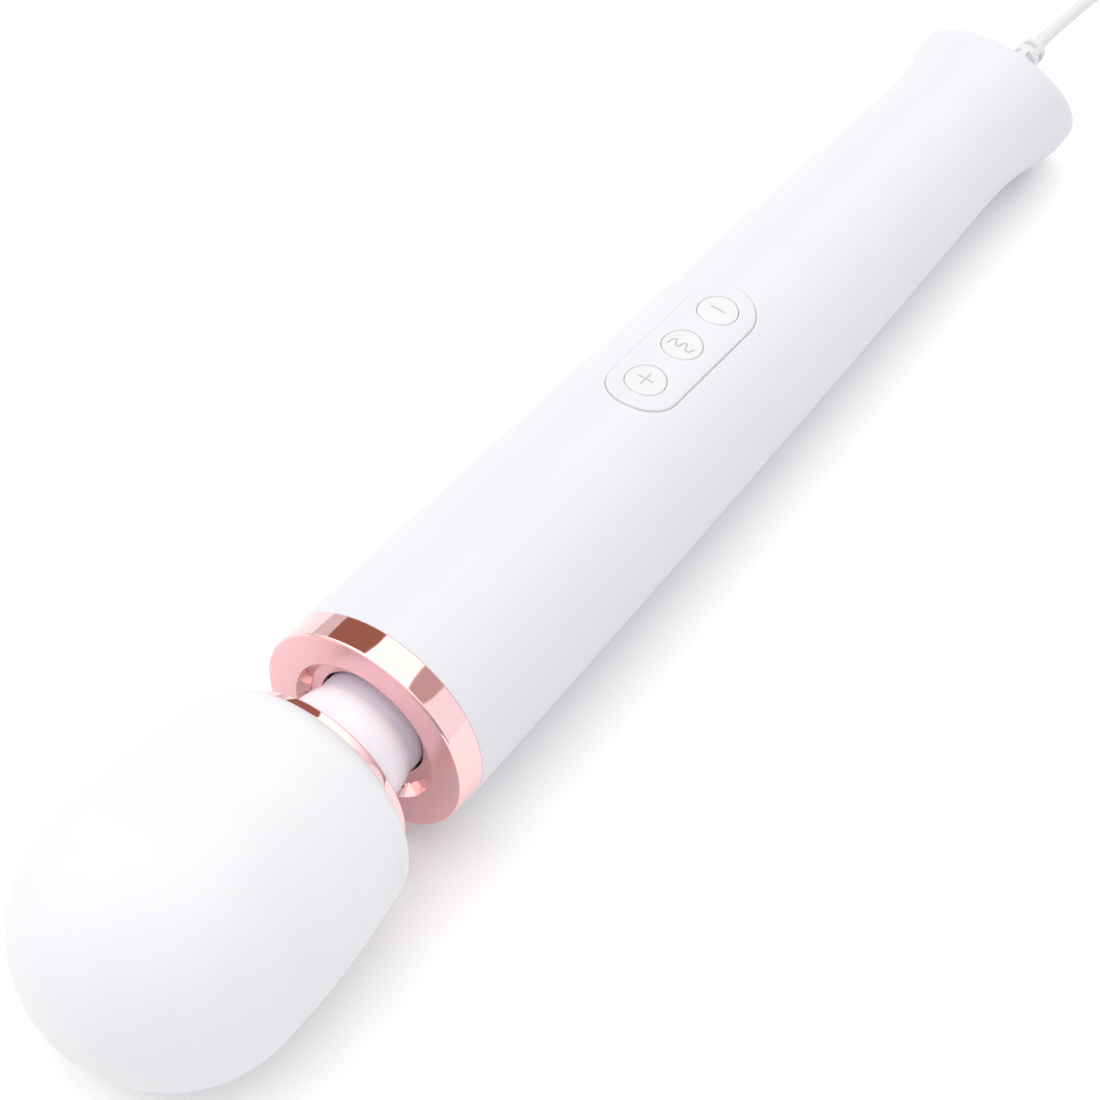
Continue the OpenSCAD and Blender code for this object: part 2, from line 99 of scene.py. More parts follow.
# Lead, coil and adaptor, in mm on the surface that the wand lies on
LEAD_R = 1.7
RELIEF_LEN = 16.0
LEAD = [(-199, 0, 19.3), (-208, 0, 18), (-217, 0, 16.2), (-225, 0, 13.4), (-233, 0, 9.8),
        (-241, 0, 6.2), (-249, 0, 3.4), (-257, -0.2, 2), (-266, -0.4, 1.75),
        (-277, -0.6, 1.75)]
COIL_X = -289.0
COIL_Y = 24.0
COIL_COLUMNS = [24.65, 21.25, 17.85, 14.45]
COIL_ROWS = 3
COIL_TOP_TURNS = 1.25
TAIL = [(-314.4, 33, 10.8), (-314.8, 41, 7.8), (-315.4, 49, 4.4), (-318.6, 56.6, 2.2),
        (-325.2, 61.6, 1.75), (-333, 61.6, 1.9), (-339.6, 56.6, 2.9), (-342.4, 50, 4.6),
        (-343, 46, 5.4), (-343, 42, 5.6), (-343, 35, 5.6)]
ADAPTOR_X = -343.0
ADAPTOR_Y = 0.0
ADAPTOR_W = 34.0
ADAPTOR_LEN = 60.0
ADAPTOR_H = 26.0
ADAPTOR_SPLIT = 20.0
PIN_PITCH = 19.0
PIN_LEN = 19.0
PIN_R = 2.0
BOOT_Z = 5.6

# Camera: its place in metres, the directions to its back and side, and its lens in mm
CAMERA_AT = (0.33194, 0.20142, 0.47070)
CAMERA_BACK = (0.53069, 0.34817, 0.77275)
CAMERA_SIDE = (-0.58463, 0.81049, 0.03633)
CAMERA_LENS = 90.16

# Light of the room: patches over an even base, each over the ones before it. A patch has a
# colour, an azimuth and elevation, and the angles where its falloff starts and ends.
BASE_LIGHT = (0.40, 0.40, 0.42)
PATCHES = {
    "main": ((1.97, 1.97, 1.98), (-109, 74, 5, 96)),
    "left_pink": ((0.78, 0.78, 0.80), (-115, 3, 13, 20)),
    "dark_flag": ((0.34, 0.17, 0.12), (-131, 35, 20, 22)),
    "bright_panel": ((1.65, 1.65, 1.60), (180, 54, 19, 21)),
    "mauve_flag": ((0.58, 0.48, 0.47), (136, 42.5, 10.7, 12.7)),
    "right_edge": ((1.05, 1.12, 1.18), (121, 16, 16, 20)),
}


def joint(name):
    """Joint of the frame by name"""
    return next(j for j in frame["joints"] if j["name"] == name)


ALONG = Vector(joint("motor_spin")["axis"]).normalized()
UP = -Vector(joint("press_wave")["axis"]).normalized()
ACROSS = UP.cross(ALONG)
TAIL_END = Vector(joint("neck_nod")["pos_m"]) - ALONG * PIVOT_S * MM
# Turns (s, y, z) in mm along, across and above the wand's axis into the frame's metres
WAND = (Matrix.Translation(TAIL_END)
        @ Matrix((ALONG, ACROSS, UP)).transposed().to_4x4() @ Matrix.Scale(MM, 4))
ROW = Matrix.Scale(MM, 4)


# ---- camera ----

def make_camera():
    """The photograph's camera"""
    back = Vector(CAMERA_BACK).normalized()
    side = Vector(CAMERA_SIDE).normalized()
    turn = Matrix((side, back.cross(side), back)).transposed().to_4x4()
    data = bpy.data.cameras.new("camera")
    data.lens = CAMERA_LENS
    data.sensor_width = 36
    camera = bpy.data.objects.new("camera", data)
    camera.matrix_world = Matrix.Translation(CAMERA_AT) @ turn
    bpy.context.scene.collection.objects.link(camera)
    bpy.context.scene.camera = camera


make_camera()


# ---- finishes ----

def noise(tree, size_mm, detail=2.0, squeeze=(1, 1, 1)):
    """Noise whose features are about size_mm wide, fixed to the piece"""
    place = tree.nodes.new("ShaderNodeTexCoord")
    scale = tree.nodes.new("ShaderNodeMapping")
    scale.inputs["Scale"].default_value = squeeze
    made = tree.nodes.new("ShaderNodeTexNoise")
    made.inputs["Scale"].default_value = 1000 / size_mm
    made.inputs["Detail"].default_value = detail
    tree.links.new(place.outputs["Object"], scale.inputs["Vector"])
    tree.links.new(scale.outputs["Vector"], made.inputs["Vector"])
    return made.outputs["Fac"]


def spread(tree, value, low, high):
    """Stretches a noise value to run from low to high"""
    made = tree.nodes.new("ShaderNodeMapRange")
    made.inputs["From Min"].default_value = 0.3
    made.inputs["From Max"].default_value = 0.7
    made.inputs["To Min"].default_value = low
    made.inputs["To Max"].default_value = high
    tree.links.new(value, made.inputs["Value"])
    return made.outputs["Result"]


def finish(name, color, roughness, grain=0.4, depth=0.004, tint=0.015, vary=0.04,
           patch=18.0, squeeze=(1, 1, 1), **constants):
    """Procedural finish: a fine grain of the given size and depth in mm, patches of slightly
    different colour, and a roughness that varies"""
    plain = bpy.data.materials.get(name)
    if plain:
        plain.name = name + "_plain"
    made = bpy.data.materials.new(name)
    made.use_nodes = True
    tree = made.node_tree
    shader = tree.nodes["Principled BSDF"]
    for socket, value in constants.items():
        shader.inputs[socket.replace("_", " ")].default_value = value
    mix = tree.nodes.new("ShaderNodeMix")
    mix.data_type = "RGBA"
    mix.inputs[6].default_value = (*[c * (1 - tint) for c in color], 1)
    mix.inputs[7].default_value = (*[min(1, c * (1 + tint)) for c in color], 1)
    tree.links.new(spread(tree, noise(tree, patch), 0, 1), mix.inputs[0])
    tree.links.new(mix.outputs[2], shader.inputs["Base Color"])
    rough = spread(tree, noise(tree, patch / 6, 4), roughness - vary, roughness + vary)
    tree.links.new(rough, shader.inputs["Roughness"])
    bump = tree.nodes.new("ShaderNodeBump")
    bump.inputs["Strength"].default_value = 1
    bump.inputs["Distance"].default_value = depth * MM
    tree.links.new(noise(tree, grain, 3, squeeze), bump.inputs["Height"])
    tree.links.new(bump.outputs["Normal"], shader.inputs["Normal"])
    return made


FINISHES = {
    "gloss_white": finish("gloss_white", (0.67, 0.672, 0.708), 0.40, 1.5, 0.0008, 0.006, 0.02,
                          30, Specular_IOR_Level=0.3),
    "button_white": finish("button_white", (0.69, 0.69, 0.695), 0.40, 0.25, 0.002),
    "silicone_white": finish("silicone_white", (0.71, 0.71, 0.73), 0.55, 0.16, 0.006,
                             Sheen_Weight=0.12, Sheen_Roughness=0.5),
    "rose_gold": finish("rose_gold", (0.94, 0.60, 0.59), 0.05, 0.6, 0.0002, 0.01, 0.01,
                        Metallic=1.0),
    "rose_satin": finish("rose_satin", (0.90, 0.54, 0.555), 0.30, 0.3, 0.0004, 0.005, 0.01,
                         Metallic=0.6),
    "lavender_plastic": finish("lavender_plastic", (0.66, 0.645, 0.76), 0.22, 0.4, 0.001),
    # Paler, bluer copy of the handle's gloss white for the neck bulge: its lighter colour is painted light, and
    # its lower roughness is the part's own gloss
    "neck_white_painted_light": finish("neck_white_painted_light", (0.87, 0.86, 0.91), 0.14, 1.0, 0.0008, 0.005, 0.02),
    "inner_plastic": finish("inner_plastic", (0.60, 0.61, 0.64), 0.5, 0.3, 0.01),
    "black_plastic": finish("black_plastic", (0.03, 0.03, 0.032), 0.45, 0.3, 0.01),
    "black_rubber": finish("black_rubber", (0.02, 0.02, 0.02), 0.7, 0.25, 0.02),
    "cord_white": finish("cord_white", (0.66, 0.655, 0.66), 0.42, 0.5, 0.01, 0.02, 0.05, 9),
    "adaptor_white": finish("adaptor_white", (0.68, 0.68, 0.69), 0.48, 0.22, 0.02, 0.01),
    "steel": finish("steel", (0.55, 0.56, 0.58), 0.28, 0.3, 0.003, Metallic=1.0),
    "nickel_pins": finish("nickel_pins", (0.72, 0.71, 0.68), 0.16, 0.5, 0.001, Metallic=1.0),
    "bronze": finish("bronze", (0.60, 0.38, 0.12), 0.42, 0.15, 0.01, Metallic=1.0),
    "copper": finish("copper", (0.62, 0.25, 0.09), 0.34, 0.5, 0.02, Metallic=1.0),
    "magnet": finish("magnet", (0.05, 0.05, 0.055), 0.6, 0.2, 0.02),
    "board_green": finish("board_green", (0.02, 0.14, 0.06), 0.3, 0.6, 0.01, 0.06),
    "wire_insulation": finish("wire_insulation", (0.30, 0.02, 0.02), 0.4, 0.4, 0.01),
    "capacitor_blue": finish("capacitor_blue", (0.04, 0.05, 0.16), 0.3, 0.4, 0.004),
    "print_grey": finish("print_grey", (0.46, 0.46, 0.47), 0.5, 0.1, 0.002),
}


def dress_nodes():
    """Gives each CAD node the finish of its slot in the record"""
    for item in frame["record"]["subparts"]:
        slots = frame["nodes"][item["node"]].data.materials
        slots.clear()
        slots.append(FINISHES[item["material_slot"]])


# ---- outlines ----

def spline(stations):
    """Smooth curve through (x, y) stations, level at the first; returns y and its slope at x"""
    x, y = np.array(stations, float).T
    gaps = np.diff(x)
    rise = np.diff(y) / gaps
    rows = np.zeros((len(x), len(x)))
    wanted = np.zeros(len(x))
    rows[0, 0] = 1
    rows[-1, -2:] = 1, 2
    wanted[-1] = 3 * rise[-1]
    for i in range(1, len(x) - 1):
        rows[i, i - 1:i + 2] = gaps[i], 2 * (gaps[i - 1] + gaps[i]), gaps[i - 1]
        wanted[i] = 3 * (gaps[i] * rise[i - 1] + gaps[i - 1] * rise[i])
    slopes = np.linalg.solve(rows, wanted)

    def value(at):
        i = int(np.clip(np.searchsorted(x, at) - 1, 0, len(x) - 2))
        h = gaps[i]
        t = (at - x[i]) / h
        height = (y[i] * (2 * t**3 - 3 * t**2 + 1) + slopes[i] * h * (t**3 - 2 * t**2 + t)
                  + y[i + 1] * (3 * t**2 - 2 * t**3) + slopes[i + 1] * h * (t**3 - t**2))
        slope = (6 * (t**2 - t) * (y[i] - y[i + 1]) / h + slopes[i] * (3 * t**2 - 4 * t + 1)
                 + slopes[i + 1] * (3 * t**2 - 2 * t))
        return float(height), float(slope)

    return value


handle = spline(HANDLE)


def ellipse_arc(s0, r0, ds, dr, start, end, steps):
    """Points along an elliptical arc, with its angles in degrees"""
    angles = [math.radians(start + (end - start) * k / steps) for k in range(steps + 1)]
    return [(s0 + ds * math.cos(a), r0 + dr * math.sin(a)) for a in angles]


def rounded(corners, steps=6, closed=True):
    """Outline through (x, y) or (x, y, radius) corners, with those that have one rounded"""
    out = []
    count = len(corners)
    for i, corner in enumerate(corners):
        p = Vector(corner[:2])
        if len(corner) < 3 or not closed and i in (0, count - 1):
            out.append(tuple(p))
            continue
        a = (Vector(corners[i - 1][:2]) - p).normalized()
        b = (Vector(corners[(i + 1) % count][:2]) - p).normalized()
        half = a.angle(b) / 2
        centre = p + (a + b).normalized() * corner[2] / math.sin(half)
        start = p + a * corner[2] / math.tan(half) - centre
        end = p + b * corner[2] / math.tan(half) - centre
        sweep = math.atan2(start.x * end.y - start.y * end.x, start.dot(end))
        for k in range(steps + 1):
            t = sweep * k / steps
            out.append((centre.x + start.x * math.cos(t) - start.y * math.sin(t),
                        centre.y + start.x * math.sin(t) + start.y * math.cos(t)))
    return out


def close_set(points, step, closed=True):
    """The same outline with points at most step apart"""
    out = []
    pairs = zip(points, points[1:] + points[:1] if closed else points[1:])
    for a, b in pairs:
        parts = max(1, math.ceil(math.dist(a, b) / step))
        out += [tuple(Vector(a).lerp(Vector(b), k / parts)) for k in range(parts)]
    return out if closed else out + [tuple(points[-1])]


# ---- meshes ----

def strip(a, b):
    """Faces between two rings that have the same number of corners"""
    faces = []
    for k in range(len(a)):
        m = (k + 1) % len(a)
        faces.append(tuple(dict.fromkeys((a[k], a[m], b[m], b[k]))))
    return faces


def add(points, new):
    """Adds new points and returns their numbers"""
    start = len(points)
    points.extend(new)
    return list(range(start, len(points)))


def turned_ring(s, r, segments=SEGMENTS):
    """Circle of radius r about the s axis"""
    steps = [2 * math.pi * k / segments for k in range(segments)]
    return [(s, r * math.sin(a), r * math.cos(a)) for a in steps]


def turned(profile, closed=True, segments=SEGMENTS):
    """Solid of revolution about the s axis from (s, r) points; a radius of 0 makes a pole"""
    points = []
    rows = []
    for s, r in profile:
        if r < 1e-6:
            rows.append(add(points, [(s, 0, 0)]) * segments)
        else:
            rows.append(add(points, turned_ring(s, r, segments)))
    faces = []
    for a, b in zip(rows, rows[1:] + rows[:1] if closed else rows[1:]):
        faces += strip(a, b)
    return points, faces


def piece(name, points, faces, body, stands_for, slot, place=WAND, sharp=38, normals=None,
          look=None):
    """Makes one shown piece from points in mm, and has it ride on a body"""
    mesh = bpy.data.meshes.new(name)
    mesh.from_pydata([place @ Vector(p) for p in points], [], faces)
    tidy = bmesh.new()
    tidy.from_mesh(mesh)
    bmesh.ops.recalc_face_normals(tidy, faces=tidy.faces)
    tidy.to_mesh(mesh)
    tidy.free()
    mesh.shade_smooth()
    mesh.set_sharp_from_angle(angle=math.radians(sharp))
    if normals:
        turn = place.to_3x3()
        given = {k: (turn @ Vector(n)).normalized() for k, n in normals.items()}
        mesh.normals_split_custom_set(
            [given.get(corner.vertex_index, (0, 0, 0)) for corner in mesh.loops])
    made = bpy.data.objects.new(name, mesh)
    bpy.context.scene.collection.objects.link(made)
    mesh.materials.append(FINISHES[look or slot])
    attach(made, body)
    if stands_for:
        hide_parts(*stands_for)
    return made


def fill(loops, extra, inside):
    """Triangles over flat loops of (x, y) points and extra points between them"""
    flat = [Vector(p) for loop in loops for p in loop]
    edges = []
    start = 0
    for loop in loops:
        edges += [(start + k, start + (k + 1) % len(loop)) for k in range(len(loop))]
        start += len(loop)
    flat += [Vector(p) for p in extra]
    found, _, triangles, came_from, _, _ = geometry.delaunay_2d_cdt(flat, edges, [], 1, 1e-6)
    out = []
    for triangle in triangles:
        middle = sum((found[k] for k in triangle), Vector((0, 0))) / 3
        if inside(middle.x, middle.y):
            out.append(tuple(came_from[k][0] for k in triangle))
    return out


# ---- handle ----

def spine_of(s, y):
    """Nearest point of the panel's middle line, and the direction from it to (s, y)"""
    nearest = PANEL_S + min(max(s - PANEL_S, -PANEL_SPINE), PANEL_SPINE)
    return nearest, Vector((s - nearest, y)).normalized()


def on_skin(s, y, lift=0.0):
    """Point of the handle's surface above (s, y), raised by lift, and its normal"""
    radius, slope = handle(s)
    radius += lift
    z = math.sqrt(radius * radius - y * y)
    return z, Vector((-slope, y / radius, z / radius)).normalized()


def skin_loop(ring, offset, lift=0.0, drop=0.0, lean=0.0, outward=1):
    """Loop at an offset from the stadium, on the skin or below it, as points and normals.
    lean turns the normals from the skin's to the edge's own direction."""
    points = []
    normals = []
    for s, y in ring:
        nearest, away = spine_of(s, y)
        at = Vector((nearest, 0)) + away * (PANEL_W / 2 + offset)
        z, normal = on_skin(at.x, at.y, lift)
        edge = Vector((away.x, away.y, 0)) * outward
        points.append((at.x, at.y, z - drop))
        normals.append(normal * math.cos(lean) + edge * math.sin(lean))
    return points, normals


def edge_arc(radius, steps=5):
    """(distance from the edge, drop, lean) round a rounded edge"""
    leans = [math.pi / 2 * k / steps for k in range(steps + 1)]
    return [(radius * (1 - math.sin(a)), radius * (1 - math.cos(a)), a) for a in leans]


def around(rows, low, high):
    """Corner numbers round a patch of a grid, columns low to high"""
    first, last = rows[0], rows[-1]
    out = [first[k] for k in range(low, high + 1)]
    out += [row[high] for row in rows[1:-1]]
    out += [last[k] for k in range(high, low - 1, -1)]
    return out + [row[low] for row in rows[-2:0:-1]]


def flare(s):
    """Radius of the handle, also for the part that reaches behind the widest place"""
    back = FLARE_S - s
    return handle(s)[0] if back < 0 else FLARE_R - 0.02 * back - 0.0015 * back * back


def tail_ring(depth, radius):
    """Circle round the slanted tail end's own axis, at a depth inside its plane"""
    cos, sin = math.cos(TAIL_TILT), math.sin(TAIL_TILT)
    flat = turned_ring(depth, radius)
    return [(TAIL_S + x * cos + z * sin, y, z * cos - x * sin) for x, y, z in flat]


def flare_ring(depth, drop, toward=0.0, radius=None):
    """Ring on the handle's skin at a depth inside the slanted end, moved toward SQUARE_S"""
    out = []
    for _, y, z in turned_ring(0, 1):
        r = radius or 20.0
        for _ in range(8):
            s = TAIL_S + depth / math.cos(TAIL_TILT) + math.tan(TAIL_TILT) * r * z
            s += (SQUARE_S - s) * toward
            r = radius or flare(s) - drop
        out.append((s, r * y, r * z))
    return out


def tail_rings():
    """Rings from the tail cap's recess, round the end's edge and along the flare"""
    out = [tail_ring(depth, radius) for depth, radius in CAP_RECESS]
    for k in range(13):
        a = math.pi / 2 * k / 12
        out.append(flare_ring(TAIL_ROUND * (1 - math.cos(a)), TAIL_ROUND * (1 - math.sin(a))))
    return out + [flare_ring(TAIL_ROUND, 0, k / 20) for k in range(1, 20)]


def skin_normals(rows, skin):
    """Normals of the handle's smooth outside for the corners of its rows"""
    normals = {}
    for row, (s, _) in zip(rows, skin):
        slope = handle(s)[1]
        for k, corner in enumerate(row):
            a = 2 * math.pi * k / SEGMENTS
            normals[corner] = (-slope, math.sin(a), math.cos(a))
    return normals


def window_edge(points, faces, normals, loop):
    """Rounds the window's edge and goes down to the lining; returns the lowest loop"""
    ring = [points[k][:2] for k in loop]
    steps = [(SEAM + away, 0, 0) for away in (2.4, 1.0)]
    steps += [(SEAM + away, drop, lean) for away, drop, lean in edge_arc(0.3)]
    for offset, drop, lean in steps:
        made, turned_to = skin_loop(ring, offset, 0, drop, lean, -1)
        corners = add(points, made)
        normals.update(zip(corners, turned_to))
        faces += strip(loop, corners)
        loop = corners
    for offset in (SEAM, SEAM + 2):
        corners = add(points, skin_loop(ring, offset, -SLEEVE_WALL)[0])
        faces += strip(loop, corners)
        loop = corners
    return loop


def handle_sleeve():
    """One-piece sleeve with a stadium window for the button panel"""
    patch_start, patch_end = PANEL_S - PATCH_REACH, PANEL_S + PATCH_REACH
    before = list(np.linspace(SQUARE_S, patch_start, 60))
    window = list(np.linspace(patch_start, patch_end, PATCH_ROWS + 1))[1:]
    after = list(np.linspace(patch_end, COLLAR_S - 0.15, 42))[1:]
    skin = [(s, handle(s)[0]) for s in before + window + after]
    end_r = handle(COLLAR_S)[0]
    lip = [(COLLAR_S - 0.05, end_r - 0.04), (COLLAR_S, end_r - 0.15)]
    lining = [(s, handle(s)[0] - SLEEVE_WALL) for s in reversed(before[4:] + window + after)]
    profile = skin + lip + [(COLLAR_S, end_r - SLEEVE_WALL)] + lining + [LINING_START]
    tail = tail_rings()
    rings = tail + [turned_ring(s, r) for s, r in profile]
    rings += [flare_ring(TAIL_WALL, 0, radius=LINING_START[1]), tail_ring(TAIL_WALL, LEAD_HOLE_R),
              tail_ring(CAP_RECESS[0][0], LEAD_HOLE_R)]
    points = []
    rows = [add(points, ring) for ring in rings]
    window_start = len(tail) + len(before) - 1
    outer = range(window_start, window_start + PATCH_ROWS)
    lining_start = len(tail) + len(skin) + 2 + len(after)
    inner = range(lining_start, lining_start + PATCH_ROWS)
    faces = []
    for i, (a, b) in enumerate(zip(rows, rows[1:] + rows[:1])):
        ring = strip(a, b)
        if i in outer or i in inner:
            ring = ring[PATCH_COLUMNS:SEGMENTS - PATCH_COLUMNS]
        faces += ring
    normals = skin_normals(rows[len(tail):], skin)
    outer_rows = [rows[i] for i in outer] + [rows[outer[-1] + 1]]
    inner_rows = [rows[i] for i in inner] + [rows[inner[-1] + 1]]
    loop = window_edge(points, faces, normals,
                       around(outer_rows, -PATCH_COLUMNS, PATCH_COLUMNS))
    faces += strip(loop, around(inner_rows[::-1], -PATCH_COLUMNS, PATCH_COLUMNS))
    return piece("sleeve", points, faces, "handle", ["handle_sleeve"], "gloss_white",
                 normals=normals)


def stadium_ring(steps=40):
    """Points round the panel's outline, for spine_of to place"""
    out = []
    for end, turn in ((1, -90), (-1, 90)):
        angles = [math.radians(turn + 180 * k / steps) for k in range(steps + 1)]
        out += [(PANEL_S + end * PANEL_SPINE + math.cos(a), math.sin(a)) for a in angles]
        side = out[-1]
        run = 2 * PANEL_SPINE / 24
        out += [(side[0] - end * run * k, side[1]) for k in range(1, 24)]
    return out


def button_places():
    """Places of the three buttons along the wand"""
    return [PANEL_S - BUTTON_PITCH, PANEL_S, PANEL_S + BUTTON_PITCH]


def hole_ring(s, radius, steps=64):
    """Circle about a button's middle, as (s, y) points"""
    angles = [2 * math.pi * k / steps for k in range(steps)]
    return [(s + radius * math.cos(a), radius * math.sin(a)) for a in angles]


def hole_loop(s, radius, drop, lean):
    """Loop round a button's hole, on the panel or below its top, as points and normals"""
    points = []
    normals = []
    for x, y in hole_ring(s, radius):
        z, normal = on_skin(x, y, PANEL_PROUD)
        edge = Vector((s - x, -y, 0)).normalized()
        points.append((x, y, z - drop))
        normals.append(normal * math.cos(lean) + edge * math.sin(lean))
    return points, normals


def panel_inside(s, y, margin, hole_r):
    """Whether (s, y) is on the panel, clear of its edge and its holes"""
    nearest, _ = spine_of(s, y)
    if math.dist((nearest, 0), (s, y)) > PANEL_W / 2 - margin:
        return False
    return all(math.dist((b, 0), (s, y)) > hole_r for b in button_places())


def button_panel():
    """Plate that stands slightly proud of the sleeve, with rounded edges all round"""
    outline = stadium_ring()
    rim, rim_normals = skin_loop(outline, PANEL_GROW - PANEL_EDGE, PANEL_PROUD)
    holes = [hole_loop(s, HOLE_R + HOLE_EDGE, 0, 0) for s in button_places()]
    loops = [[p[:2] for p in rim]] + [[p[:2] for p in made] for made, _ in holes]
    grid = [(PANEL_S + 1.1 * i, 1.1 * k) for i in range(-20, 21) for k in range(-7, 8)]
    extra = [p for p in grid if panel_inside(*p, PANEL_EDGE + 0.5, HOLE_R + HOLE_EDGE + 0.5)]
    triangles = fill(loops, extra, lambda s, y: panel_inside(s, y, PANEL_EDGE, HOLE_R + HOLE_EDGE))
    points = []
    normals = {}
    tops = [add(points, rim)]
    normals.update(zip(tops[0], rim_normals))
    for made, turned_to in holes:
        tops.append(add(points, made))
        normals.update(zip(tops[-1], turned_to))
    middle = [on_skin(s, y, PANEL_PROUD) for s, y in extra]
    extras = add(points, [(*p, z) for p, (z, _) in zip(extra, middle)])
    normals.update(zip(extras, [normal for _, normal in middle]))
    faces = list(triangles)
    below = {}
    for number, top in enumerate(tops):
        loop = top
        arc = edge_arc(PANEL_EDGE if number == 0 else HOLE_EDGE)[1:]
        for away, drop, lean in arc:
            if number == 0:
                made, turned_to = skin_loop(outline, PANEL_GROW - away, PANEL_PROUD, drop, lean)
            else:
                made, turned_to = hole_loop(button_places()[number - 1], HOLE_R + away, drop, lean)
            corners = add(points, made)
            normals.update(zip(corners, turned_to))
            faces += strip(loop, corners)
            loop = corners
        floor = add(points, [(p[0], p[1], PANEL_FLOOR) for p in made])
        faces += strip(loop, floor)
        below.update(zip(top, floor))
    below.update(zip(extras, add(points, [(*p, PANEL_FLOOR) for p in extra])))
    faces += [tuple(below[k] for k in reversed(t)) for t in triangles]
    return piece("panel", points, faces, "handle", ["button_panel"], "gloss_white",
                 normals=normals)


def button_top(centre, s, y):
    """Height of a button's domed top above (s, y), and its normal"""
    z, normal = on_skin(s, y, PANEL_PROUD)
    share = math.dist((centre, 0), (s, y)) / BUTTON_R
    tilt = Vector((s - centre, y, 0)) * 2 * BUTTON_PROUD / BUTTON_R**2
    return z + BUTTON_PROUD * (1 - share * share), (normal + tilt).normalized()


def button(name, centre):
    """Domed button with its flange and stem"""
    points = []
    normals = {}
    top, normal = button_top(centre, centre, 0)
    loop = add(points, [(centre, 0, top)]) * 64
    normals[loop[0]] = normal
    faces = []
    steps = [(r, 0, 0) for r in (0.8, 1.6, 2.4, 3.2, 3.8)]
    steps += [(BUTTON_R - away, drop, lean) for away, drop, lean in edge_arc(BUTTON_EDGE)]
    for radius, drop, lean in steps:
        ring = hole_ring(centre, radius)
        tops = [button_top(centre, *p) for p in ring]
        corners = add(points, [(*p, z - drop) for p, (z, _) in zip(ring, tops)])
        for corner, p, (_, normal) in zip(corners, ring, tops):
            out = Vector((p[0] - centre, p[1], 0)).normalized()
            normals[corner] = normal * math.cos(lean) + out * math.sin(lean)
        faces += strip(loop, corners)
        loop = corners
    for radius, z in BUTTON_FOOT:
        corners = add(points, [(*p, z) for p in hole_ring(centre, radius)])
        faces += strip(loop, corners)
        loop = corners
    faces += strip(loop, add(points, [(centre, 0, BUTTON_FOOT[-1][1])]) * 64)
    return piece(name.replace("button", "key"), points, faces, name, [name], "button_white",
                 normals=normals)


def stroke(path, width):
    """Outline of a stroke with round ends along a path of (y, s) points"""
    path = [Vector(p) for p in path]
    sides = ([], [])
    for i, p in enumerate(path):
        ahead = (path[min(i + 1, len(path) - 1)] - path[max(i - 1, 0)]).normalized()
        out = Vector((-ahead.y, ahead.x)) * width / 2
        sides[0].append(p + out)
        sides[1].append(p - out)
    ends = []
    for p, start in ((path[-1], sides[0][-1]), (path[0], sides[1][0])):
        turns = [math.pi * k / 8 for k in range(1, 8)]
        ends.append([p + Matrix.Rotation(t, 2) @ (start - p) for t in turns])
    return [tuple(p) for p in sides[0] + ends[0] + sides[1][::-1] + ends[1]]


def icon(name, body, centre, outline):
    """Printed mark, a hair proud of the button's top; outline is (y, s) from its centre"""
    flat = [(centre + s, y) for y, s in outline]
    shape = [Vector(p) for p in flat]

    def inside(x, y):
        """Whether (x, y) is inside the mark's outline"""
        found = False
        for a, b in zip(shape, shape[1:] + shape[:1]):
            if (a.y > y) != (b.y > y) and x < (b.x - a.x) * (y - a.y) / (b.y - a.y) + a.x:
                found = not found
        return found

    triangles = fill([flat], [], inside)
    tops = [button_top(centre, *p)[0] for p in flat]
    points = []
    upper = add(points, [(*p, z + 0.025) for p, z in zip(flat, tops)])
    lower = add(points, [(*p, z - 0.05) for p, z in zip(flat, tops)])
    faces = list(triangles) + strip(upper, lower)
    faces += [tuple(lower[k] for k in reversed(t)) for t in triangles]
    return piece(name, points, faces, body, None, "button_white", look="print_grey")


def icons():
    """Minus, wave and plus marks on the buttons"""
    bar = close_set([(-2.0, 0), (2.0, 0)], 0.2, False)
    icon("mark_minus", "button_minus", button_places()[0], stroke(bar, 0.42))
    zigzag = [(-2.9, 1.75), (-2.05, -1.2, 0.45), (-0.35, 2.4, 0.5), (0.5, -1.45, 0.45),
              (2.1, 2.3, 0.5), (3.0, -0.4)]
    wave = close_set(rounded(zigzag, 8, False), 0.2, False)
    icon("mark_wave", "button_wave", button_places()[1], stroke(wave, 0.42))
    a, b = 2.0, 0.2
    cross = [(a, b, 0.12), (b, b), (b, a, 0.12), (-b, a, 0.12), (-b, b), (-a, b, 0.12),
             (-a, -b, 0.12), (-b, -b), (-b, -a, 0.12), (b, -a, 0.12), (b, -b), (a, -b, 0.12)]
    icon("mark_plus", "button_plus", button_places()[2], close_set(rounded(cross, 3), 0.2))


# ---- collar, neck and head ----

def collar():
    """Plated collar: a polished band and bore, with a satin front face"""
    front, hole, back = 255.7, 16.8, COLLAR_S
    profile = rounded([(back, 21.95), (back, 24.3, 0.2), (255.35, 24.08, 0.35), (front, 23.75, 0.2),
                       (front, hole, 0.14), (252.95, 15.15), (252.95, 18.5),
                       (back + 1.2, 18.5), (back + 1.2, 21.95)], 8)
    points, faces = turned(profile)
    made = piece("collar_plating", points, faces, "handle", ["collar"], "rose_gold", sharp=28)
    made.data.materials.append(FINISHES["rose_satin"])
    middle = TAIL_END + ALONG * front * MM
    for face in made.data.polygons:
        if (face.center - middle).dot(ALONG) > -0.02 * MM:
            face.material_index = 1
    return made


def step_ring():
    """Second plated ring, set back in the collar's hole"""
    profile = rounded([(251, 12.9), (251, 18.4), (252.9, 18.4), (252.9, 12.6, 0.3), (251.3, 12.6)])
    points, faces = turned(profile)
    return piece("step_plating", points, faces, "handle", ["collar_step_ring"], "rose_gold",
                 sharp=28, look="rose_satin")


